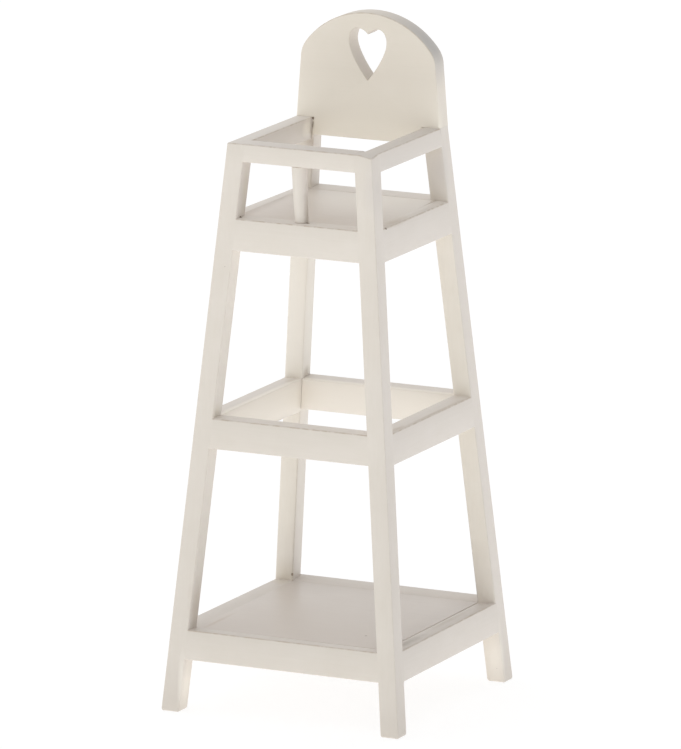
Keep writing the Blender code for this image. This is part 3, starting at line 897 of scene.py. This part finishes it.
def add_camera():
    """The camera, where the photograph was taken from."""
    camera = bpy.data.cameras.new("camera")
    camera.sensor_fit = "HORIZONTAL"
    camera.sensor_width = SENSOR
    camera.lens = FOCAL_PIXELS / FRAME_PIXELS * SENSOR
    camera.clip_start, camera.clip_end = CLIP_NEAR, CLIP_FAR
    eye = bpy.data.objects.new("camera", camera)
    right, forward = Vector(EYE_RIGHT), Vector(EYE_FORWARD).normalized()
    up = right.cross(forward)
    turn = Matrix((right, up, -forward)).transposed().to_4x4()
    eye.matrix_world = Matrix.Translation(EYE) @ turn
    bpy.context.scene.collection.objects.link(eye)
    bpy.context.scene.camera = eye


def add_world():
    """White for the camera and in reflections, and a tent of uneven light on the chair."""
    world = bpy.data.worlds.new("tent")
    bpy.context.scene.world = world
    n = Nodes(world)
    way = n.add("ShaderNodeTexCoord").outputs["Generated"]
    x, y, z = n.add("ShaderNodeSeparateXYZ", {0: way}).outputs
    flat = n.add("ShaderNodeVectorMath", {0: way, 1: (1, 1, 0)}, operation="MULTIPLY").outputs[0]
    spread = n.larger(n.maths("POWER", n.length(flat), 2.0), TINY)
    sides = {}
    for name, along, sign in (("front", y, -1), ("right", x, 1), ("rear", y, 1), ("left", x, -1)):
        toward = n.larger(n.times(along, sign), 0.0)
        sides[name] = n.maths("DIVIDE", n.maths("POWER", toward, 2.0), spread)
    near_horizon = n.fall(z, (0.0, HALFWAY_UP))
    overhead = n.rise(z, (HALFWAY_UP, 1.0))
    halfway = n.maths("SUBTRACT", n.maths("SUBTRACT", 1.0, near_horizon), overhead)
    light = n.times(overhead, TOP_LIGHT)
    for band, levels in ((near_horizon, LOW_LIGHT), (halfway, HIGH_LIGHT)):
        for name, level in levels.items():
            light = n.maths("ADD", light, n.times(n.times(band, sides[name]), level))
    path = n.add("ShaderNodeLightPath").outputs
    seen = n.larger(path["Is Camera Ray"], path["Is Transmission Ray"])
    seen = n.larger(seen, path["Is Glossy Ray"])
    strength = n.add("ShaderNodeMix", {0: seen, 2: light, 3: 1.0}).outputs[0]
    background = n.tree.nodes["Background"]
    background.inputs["Color"].default_value = WHITE
    n.tree.links.new(strength, background.inputs["Strength"])


def add_floor():
    """A wide pale floor that is nearly white to the camera and still keeps the chair's shadow."""
    bm = bmesh.new()
    bmesh.ops.create_grid(bm, x_segments=1, y_segments=1, size=FLOOR_REACH)
    mesh = bpy.data.meshes.new("floor")
    bm.to_mesh(mesh)
    bm.free()
    n = Nodes(bpy.data.materials.new("floor_sheet"))
    n.shader.inputs["Base Color"].default_value = FLOOR_COLOUR
    n.shader.inputs["Roughness"].default_value = FLOOR_ROUGHNESS
    n.shader.inputs["Specular IOR Level"].default_value = FLOOR_GLOSS
    n.shader.inputs["Emission Color"].default_value = WHITE
    white = n.add("ShaderNodeEmission", {"Color": WHITE, "Strength": 1.0})
    seen = n.add("ShaderNodeLightPath").outputs["Is Camera Ray"]
    glow = n.span(seen, (0.0, 1.0), FLOOR_GLOW, FLOOR_SEEN_GLOW)
    n.tree.links.new(glow, n.shader.inputs["Emission Strength"])
    share = n.times(seen, FLOOR_WHITE)
    mixed = n.add("ShaderNodeMixShader", {0: share, 1: n.shader.outputs[0], 2: white.outputs[0]})
    output = n.tree.nodes["Material Output"]
    n.tree.links.new(mixed.outputs[0], output.inputs["Surface"])
    floor = bpy.data.objects.new("floor", mesh)
    floor.data.materials.append(n.owner)
    bpy.context.scene.collection.objects.link(floor)


def main():
    shade_and_marks = {"x": CROSS_SHADE_AND_MARKS, "y": SIDE_SHADE_AND_MARKS, "z": LEG_SHADE_AND_MARKS}
    inner_light = {"x": 0.0, "y": 0.0, "z": 1.0}
    paints = {axis: painted_wood("painted_wood_" + axis, PAINT, axis, shade_and_marks[axis],
                                 inner_light=inner_light[axis]) for axis in "xyz"}
    add_frame(paints)
    add_back_panel(painted_wood("painted_panel", PANEL_PAINT_WITH_PAINTED_LIGHT, "x", PANEL_SHADE_AND_MARKS, contrast=0.6))
    add_post(paints["z"])
    board = painted_wood("painted_board", BOARD_PAINT_WITH_TOP_SHADE, "x", BOARD_SHADE_AND_MARKS,
                         contrast=1.6, wear_and_shade=0.35, roughness=0.40)
    rises = (APRON_TOP - SEAT_FRONT_TOP - SEAM, APRON_TOP - SEAT_REAR_TOP - SEAM)
    add_board("seat_board", (SEAT_FRONT_TOP, SEAT_REAR_TOP), SEAT_THICKNESS, SEAT_RIM,
              (SEAM, SEAT_GAP, SEAM, SEAM), rises, board)
    add_board("shelf_board", (SHELF_BOARD_TOP, SHELF_BOARD_TOP), BOARD_THICKNESS, LEG,
              (SEAM, SHELF_GAP, SEAM, SEAM), (0.0, 0.0), board)
    bare = painted_wood("bare_pins", BARE_WOOD, "z", ())
    for name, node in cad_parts.items():
        if name.startswith("pin_"):
            for slot in node.material_slots:
                slot.material = bare
    add_camera()
    add_world()
    add_floor()
    bpy.context.scene.view_settings.view_transform = "Standard"


main()
